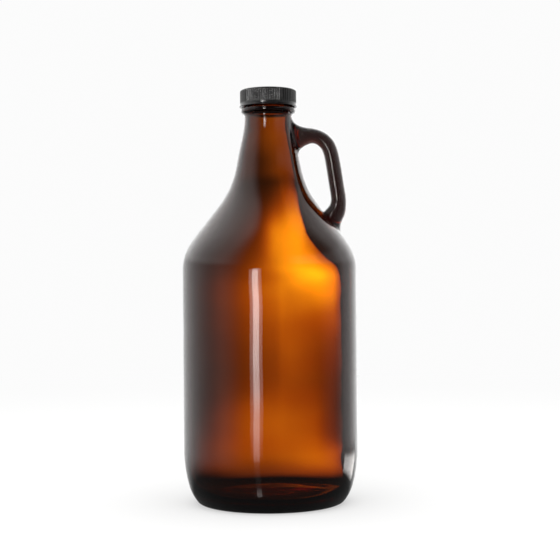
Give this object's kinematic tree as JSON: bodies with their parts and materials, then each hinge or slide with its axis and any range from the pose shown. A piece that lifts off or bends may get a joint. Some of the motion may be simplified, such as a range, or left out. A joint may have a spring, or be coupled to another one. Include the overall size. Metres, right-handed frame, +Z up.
{
  "type": "growler",
  "caption": "Amber glass growler with a round body, sloping shoulder, loop handle at the neck and a black ribbed screw cap with a cone liner.",
  "frame": {"origin": "on the bottle's axis, in the plane it stands on", "axes": "+Z up along the bottle's axis, +X towards the loop handle, +Y completes the right-handed frame"},
  "size_m": [0.124, 0.124, 0.2943],
  "materials": {
    "amber_glass": "fire-polished amber glass",
    "cap_black": "moulded black, satin",
    "liner_white": "soft waxy white"
  },
  "bodies": {
    "bottle": {"glass_bottle": "amber_glass"},
    "liner": {"cone_liner": "liner_white"},
    "cap": {"screw_cap": "cap_black"}
  },
  "joints": [
    {"name": "cap_lift", "type": "slide", "parent": "bottle", "child": "liner", "axis": [0, 0, 1], "range_m": [0, 0.0127]},
    {"name": "cap_turn", "type": "hinge", "parent": "liner", "child": "cap", "pos_m": [0, 0, 0.288], "axis": [0, 0, 1], "range_deg": [0, 1080]}
  ],
  "couplings": [
    {"joint": "cap_turn", "follows": "cap_lift", "rad_per_m": 1484.2}
  ]
}
